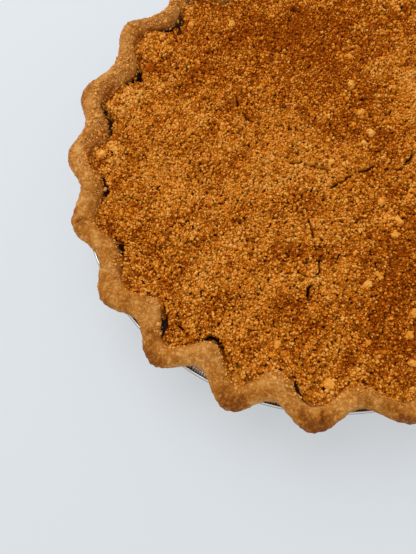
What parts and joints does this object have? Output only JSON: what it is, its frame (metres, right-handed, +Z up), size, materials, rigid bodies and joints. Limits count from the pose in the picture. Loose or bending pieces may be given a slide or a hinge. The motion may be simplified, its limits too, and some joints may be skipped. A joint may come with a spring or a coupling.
{
  "type": "pumpkin pie in foil tin",
  "caption": "Whole round pie with a fluted pastry rim and a baked crumb top over its filling, in a shallow foil tin with a rolled edge.",
  "frame": {"origin": "middle of the foil tin's flat base, on the surface that it rests on", "axes": "+Z up out of the tin; +Y towards the top of the reference view and +X to its right"},
  "size_m": [0.256, 0.257, 0.0405],
  "materials": {
    "foil": "bright thin foil, finely pleated",
    "pastry": "baked pastry, golden with browner tips, soft sheen",
    "crumb": "dry orange-brown baked crumb over pumpkin filling"
  },
  "bodies": {
    "root": {"foil_tin": "foil", "crust": "pastry", "filling": "crumb"}
  },
  "joints": []
}
